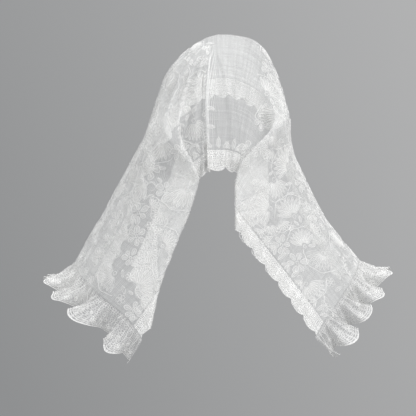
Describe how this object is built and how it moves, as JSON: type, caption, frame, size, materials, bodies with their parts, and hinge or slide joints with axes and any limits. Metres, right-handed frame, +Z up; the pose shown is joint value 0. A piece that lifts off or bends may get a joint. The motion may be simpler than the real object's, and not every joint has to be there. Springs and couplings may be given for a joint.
{
  "type": "bridal veil",
  "caption": "Short sheer veil of embroidered net with scalloped lace edging and gathered lace ends, in the hollow folded form it takes over a head.",
  "frame": {"origin": "the crown of the cloth, where it rests on the wearer's head", "axes": "+Z up, the wearer faces -Y, +X to the wearer's left"},
  "size_m": [0.4573, 0.264, 0.4252],
  "materials": {
    "net": "sheer",
    "lace": "soft sheen"
  },
  "bodies": {
    "root": {"net_panel": "net", "back_edging": "lace", "front_edging": "lace", "ruffle_left": "lace", "ruffle_right": "lace"}
  },
  "joints": []
}
